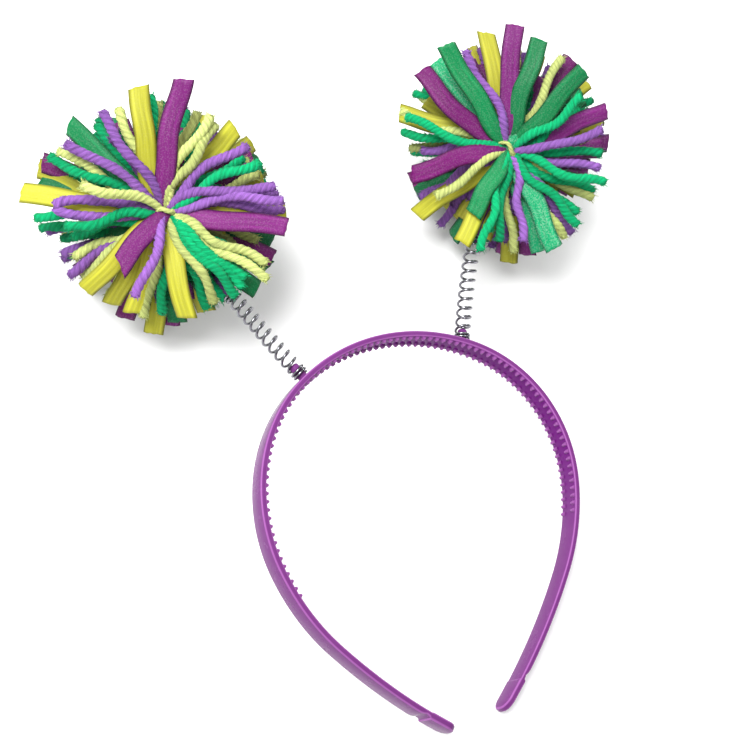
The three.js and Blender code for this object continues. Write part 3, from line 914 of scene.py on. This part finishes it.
def strand_lines(path, frame_of_tie, centre, clear):
    """A strand's place, direction and cross directions on the table, kept above it."""
    points = path @ frame_of_tie * MM + centre
    points[:, 2] = np.maximum(points[:, 2], clear * MM)
    ahead = unit(np.gradient(points, axis=0))
    is_loop = np.linalg.norm(path[-1] - path[0]) <= LOOP_CLOSED
    flat = path[len(path) // 2] if is_loop else path[-1] - path[0]
    across = unit(np.array([flat[1], -flat[0], 0.0]) + TINY) @ frame_of_tie
    side = unit(across - ahead * (ahead @ across)[:, None])
    over = np.cross(side, ahead)
    run = np.concatenate([[0.0], np.cumsum(np.linalg.norm(np.diff(points, axis=0), axis=1))])
    return points, side, over, run


def sample(run, values, at):
    """A line's values at those distances along it."""
    return np.stack([np.interp(at, run, values[:, i]) for i in range(3)], axis=-1)


def grid_faces(rings, corners):
    """Quads of a closed tube of rings, as corner numbers, with its two end caps."""
    ring, corner = np.meshgrid(np.arange(rings - 1), np.arange(corners), indexing="ij")
    following = (corner + 1) % corners
    quads = np.stack([
        ring * corners + corner,
        ring * corners + following,
        (ring + 1) * corners + following,
        (ring + 1) * corners + corner,
    ], axis=-1).reshape(-1, 4).tolist()
    first_cap = list(range(corners))[::-1]
    last_cap = [(rings - 1) * corners + i for i in range(corners)]
    return quads + [first_cap, last_cap]


def loose_fibres(skin, outward, ahead, feet, fibre, draw):
    """Short fibres that stand off a yarn, or fray from its end: thin three-sided spikes, above the table."""
    count = len(feet)
    stray = draw.uniform(-FIBRE_LEAN, FIBRE_LEAN, (count, 1)) * ahead[feet]
    stray = stray + draw.normal(0, FIBRE_STRAY, (count, 3))
    lean = unit(outward[feet] + stray + fibre["forward"] * ahead[feet])
    beside = unit(np.cross(lean, draw.normal(0, 1, (count, 3))))
    third = np.cross(lean, beside)
    corners = []
    for angle in np.radians((0, 120, 240)):
        corners.append(skin[feet] + (np.cos(angle) * beside + np.sin(angle) * third) * fibre["radius"] * MM)
    corners.append(skin[feet] + lean * draw.uniform(*FIBRE_LENGTHS, (count, 1)) * fibre["length"] * MM)
    faces = [[4 * i + corner for corner in face]
             for i in range(count) for face in ((0, 1, 3), (1, 2, 3), (2, 0, 3), (2, 1, 0))]
    spikes = np.stack(corners, axis=1).reshape(-1, 3)
    spikes[:, 2] = np.maximum(spikes[:, 2], 0.0)
    return spikes, faces


def yarn_mesh(lines, strand, draw):
    """A slightly flat, lumpy tube of twisted plies, narrow where it is tied, with loose fibres and a
    frayed end."""
    points, side, over, run = lines
    length = run[-1] / MM
    rings = max(int(length / strand["step"]), FEWEST_RINGS)
    at = np.linspace(0, 1, rings) ** RINGS_BUNCHED * length
    lump = np.sin(2 * math.pi * at / LUMP_PITCH + draw.uniform(*LUMP_PHASES))
    lump = lump + np.sin(SECOND_LUMP * at / LUMP_PITCH)
    radius = YARN_RADIUS * strand["thick"] * (1 + YARN_LUMP * lump / 2)
    radius *= ROOT_SHARE + (1 - ROOT_SHARE) * np.clip(at / YARN_ROOT, 0, 1)
    from_end = np.clip((length - at) / (YARN_RADIUS * END_LENGTH), 0, 1)
    radius *= 1 - END_ROUNDED + END_ROUNDED * np.sqrt(1 - (1 - from_end) ** 2)
    corners = YARN_PLIES * PLY_CORNERS
    number = np.arange(corners)
    bulge = np.sin(math.pi * (number % PLY_CORNERS) / PLY_CORNERS) ** PLY_BULGE
    ridge = PLY_GROOVE + (1 - PLY_GROOVE) * bulge
    pitch = PLY_PITCH * draw.uniform(*PITCH_STRAY)
    angle = 2 * math.pi * (number[None, :] / corners + at[:, None] / pitch) + draw.uniform(0, 2 * math.pi)
    place = sample(run, points, at * MM)
    beside = sample(run, side, at * MM)
    above = sample(run, over, at * MM) * YARN_FLAT
    outward = np.cos(angle)[..., None] * beside[:, None] + np.sin(angle)[..., None] * above[:, None]
    skin = (place[:, None] + (radius[:, None] * ridge[None, :])[..., None] * MM * outward).reshape(-1, 3)
    uv = np.stack(np.broadcast_arrays(number[None, :] / corners * 2 * math.pi * YARN_RADIUS * MM,
                                      at[:, None] * MM), axis=-1).reshape(-1, 2)
    # Painted shade in the grooves between plies: 0 in a groove and 1 on a ply's crown.
    groove = np.broadcast_to((ridge - PLY_GROOVE) / (1 - PLY_GROOVE), (rings, corners)).ravel()
    faces = grid_faces(rings, corners)
    if not strand["fluffy"]:
        return skin, faces, uv, groove
    outward = outward.reshape(-1, 3)
    ahead = np.repeat(unit(np.cross(above, beside)), corners, axis=0)
    skins, uvs, grooves = [skin], [uv], [groove]
    for fibre, first in ((FIBRES, 0), (FRAYED_END, len(skin) - FRAYED_RINGS * corners)):
        feet = draw.integers(first, len(skin), fibre["count"])
        spikes, spike_faces = loose_fibres(skin, outward, ahead, feet, fibre, draw)
        start = sum(len(part) for part in skins)
        faces += [[start + corner for corner in face] for face in spike_faces]
        skins.append(spikes)
        uvs.append(uv[np.repeat(feet, 4)])
        grooves.append(np.ones(len(spikes)))
    return np.concatenate(skins), faces, np.concatenate(uvs), np.concatenate(grooves)


def ribbon_mesh(lines, strand, draw):
    """A thin strip, gathered into a fold where it is tied, with a slanting, slightly ragged cut end."""
    points, side, over, run = lines
    length = run[-1] / MM
    rings = max(int(length / RIBBON_STEP), FEWEST_RINGS)
    share = np.linspace(0, 1, rings)
    across = np.linspace(-1, 1, RIBBON_CORNERS)
    cut = strand["cut"]
    slant = 1 - abs(cut) * (1 + np.sign(cut) * across) / 2
    at = np.clip(share[:, None] * slant[None, :], 0, 1) * length
    at[-1] -= draw.uniform(0, RIBBON_RAGGED, RIBBON_CORNERS)
    gather = np.clip(1 - at / GATHER_REACH, 0, 1) ** GATHER_EASE
    fold = draw.uniform(*RIBBON_BOW) + GATHER_FOLD * gather
    bow = across[None, :] * fold
    half = RIBBON_WIDTH / 2 * (1 - GATHER_NARROW * gather)
    aside = half * np.sin(bow) / fold
    lift = half * (np.cos(bow) - 1) / fold
    lift += PLEAT_DEPTH * np.exp(-at / PLEAT_REACH) * np.cos(PLEATS * math.pi * across[None, :])
    place, beside, above = (sample(run, lane, at.ravel() * MM).reshape(rings, RIBBON_CORNERS, 3)
                            for lane in (points, side, over))
    turn = (draw.uniform(-RIBBON_TWIST, RIBBON_TWIST) * share)[:, None, None]
    beside, above = (np.cos(turn) * beside + np.sin(turn) * above,
                     np.cos(turn) * above - np.sin(turn) * beside)
    lean = bow[..., None]
    normal = np.cos(lean) * above + np.sin(lean) * beside
    top = place + (aside[..., None] * beside + lift[..., None] * above) * MM
    under = top - normal * RIBBON_THICKNESS * MM
    verts = np.concatenate([top, under[:, ::-1]], axis=1)
    flat = np.stack([np.broadcast_to(across * RIBBON_WIDTH / 2 * MM, at.shape), at * MM], axis=-1)
    uv = np.concatenate([flat, flat[:, ::-1]], axis=1)
    # Darker along both edges, with painted shade where the ribbon is gathered at the knot.
    edge = np.where(np.abs(across) > DARK_EDGE_FROM, DARK_EDGE_TONE, 1.0) * (1 - GATHER_SHADE * gather)
    dark_edges_and_shade = np.concatenate([edge, edge[:, ::-1]], axis=1)
    faces = grid_faces(rings, 2 * RIBBON_CORNERS)[:-2]
    for first in (0, (rings - 1) * 2 * RIBBON_CORNERS):
        last = first + 2 * RIBBON_CORNERS - 1
        for i in range(RIBBON_CORNERS - 1):
            cap = [first + i, first + i + 1, last - 1 - i, last - i]
            faces.append(cap[::-1] if first == 0 else cap)
    return verts.reshape(-1, 3), faces, uv.reshape(-1, 2), dark_edges_and_shade.ravel()


def join_strands(name, strands, materials):
    """One mesh of all the strands of a kind, with each strand's colour, tone and lengthwise UV."""
    verts = np.concatenate([strand["verts"] for strand in strands])
    first = np.cumsum([0] + [len(strand["verts"]) for strand in strands])
    faces = [[start + corner for corner in face]
             for start, strand in zip(first, strands) for face in strand["faces"]]
    mesh = bpy.data.meshes.new(name)
    mesh.from_pydata(verts.tolist(), [], faces)
    slots = np.concatenate([np.full(len(strand["faces"]), strand["slot"]) for strand in strands])
    mesh.polygons.foreach_set("material_index", slots.astype(np.int32))
    mesh.polygons.foreach_set("use_smooth", np.ones(len(faces), bool))
    for key in ("tone", "groove"):
        values = np.concatenate([strand[key] for strand in strands])
        mesh.attributes.new(key, "FLOAT", "POINT").data.foreach_set("value", values.astype(np.float32))
    corners = np.zeros(len(mesh.loops), np.int32)
    mesh.loops.foreach_get("vertex_index", corners)
    uv = np.concatenate([strand["uv"] for strand in strands])[corners]
    mesh.uv_layers.new(name="strand").data.foreach_set("uv", uv.astype(np.float32).ravel())
    for material in materials:
        mesh.materials.append(material)
    mesh.update()
    piece = bpy.data.objects.new(name, mesh)
    bpy.context.scene.collection.objects.link(piece)
    return piece


fibre_group = yarn_fibre_group()
weave_group = ribbon_weave_group()
yarn_materials = [yarn_material(name, colour, fibre_group) for name, colour in YARN_COLOURS.items()]
ribbon_materials = [
    ribbon_material(name, colour, GLITTER[name], weave_group) for name, colour in RIBBON_COLOURS.items()
]

for number, spring in enumerate(SPRINGS):
    side = spring["side"]
    draw = np.random.default_rng(STRANDS_SEED + number)
    line = spring_line(spring)
    centre = lie(line["centre"])
    tie = tie_frame(centre)
    centre = centre + np.array(TIE_SHIFT[side]) @ tie * MM
    laid = []
    for kind, rows in CHARTS[side].items():
        for row in rows:
            strand = {
                "swing": draw.uniform(-SWING, SWING),
                "root": ROOT,
                "cut": draw.uniform(-CUT_STRAY, CUT_STRAY),
            }
            strand.update(zip(COLUMNS, row))
            strand.update(kind=kind, layer_number=strand["layer"], layer=LAYERS[strand["layer"]],
                          step=YARN_STEP, fluffy=True, thick=1.0)
            if kind == "loops":
                strand["kind"] = "purple_yarn"
                strand["path"] = loop_path(strand)
            if kind == "tie":
                strand.update(kind="lime_yarn", thick=TIE_THICK, fluffy=False)
            laid.append(strand)
            if kind in TWINNED:
                aside = draw.choice((-1, 1)) * draw.uniform(*TWIN_ASIDE)
                short = draw.uniform(*TWIN_SHORT)
                lower = LAYERS[min(strand["layer_number"] + 1, LOWEST_LAYER)]
                twin = {"clock": strand["clock"] + aside, "reach": strand["reach"] - short, "layer": lower}
                laid.append({**strand, **twin})
    for ring in FILL_RINGS:
        for i in range(ring["count"]):
            clock = 360 * (i + draw.uniform(-FILL_ASIDE, FILL_ASIDE)) / ring["count"]
            is_thin = FILL_THIN[side][0] < clock < FILL_THIN[side][1]
            laid.append({
                "kind": str(draw.choice(list(FILL_MIX), p=list(FILL_MIX.values()))),
                "clock": clock,
                "reach": ring["reach"] + draw.uniform(*FILL_STRAY) - is_thin * FILL_THIN_BY,
                "layer": {
                    "start": min(FILL_START, FILL_START + FILL_SINK * ring["height"]),
                    "end": ring["height"] + draw.uniform(-FILL_RISE, FILL_RISE),
                    "arch": FILL_ARCH,
                    "tone": ring["tone"],
                },
                "swing": draw.uniform(-SWING, SWING),
                "root": ROOT,
                "cut": draw.uniform(-CUT_STRAY, CUT_STRAY),
                "step": FILL_STEP,
                "fluffy": True,
                "thick": 1.0,
            })
    stub = lie([line["head"] + line["towards"] * SPRING_HEAD,
                line["head"] - line["towards"] * CLOSE_TURNS * CLOSE_PITCH])
    laid.append({
        "kind": "purple_yarn",
        "path": (np.linspace(*stub, PATH_STEPS) - centre) / MM @ tie.T,
        "layer": {"tone": STUB_TONE},
        "step": YARN_STEP,
        "fluffy": False,
        "thick": STUB_RADIUS / YARN_RADIUS,
    })
    yarns, ribbons = [], []
    for strand in laid:
        is_yarn = strand["kind"] in YARN_COLOURS
        path = strand.get("path")
        if path is None:
            path = spread_path(strand, WAVES["yarn" if is_yarn else "ribbon"], draw)
        lines = strand_lines(path, tie, centre, YARN_RADIUS if is_yarn else RIBBON_WIDTH / 2)
        make_mesh = yarn_mesh if is_yarn else ribbon_mesh
        verts, faces, uv, groove = make_mesh(lines, strand, draw)
        colours = list(YARN_COLOURS) if is_yarn else list(RIBBON_COLOURS)
        (yarns if is_yarn else ribbons).append({
            "verts": verts, "faces": faces, "uv": uv, "groove": groove,
            # The strand's tone from its layer, which paints shade on the deeper strands, times a random
            # tone.
            "tone": np.full(len(verts), strand["layer"]["tone"] * draw.uniform(*TONE_STRAY)),
            "slot": colours.index(strand["kind"]),
        })
    for name, strands, materials in (("yarn", yarns, yarn_materials), ("ribbon", ribbons, ribbon_materials)):
        piece = join_strands(f"pompom_{name}_{side}", strands, materials)
        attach(piece, f"{side}_pompom")
        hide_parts(f"pompom_{side}")
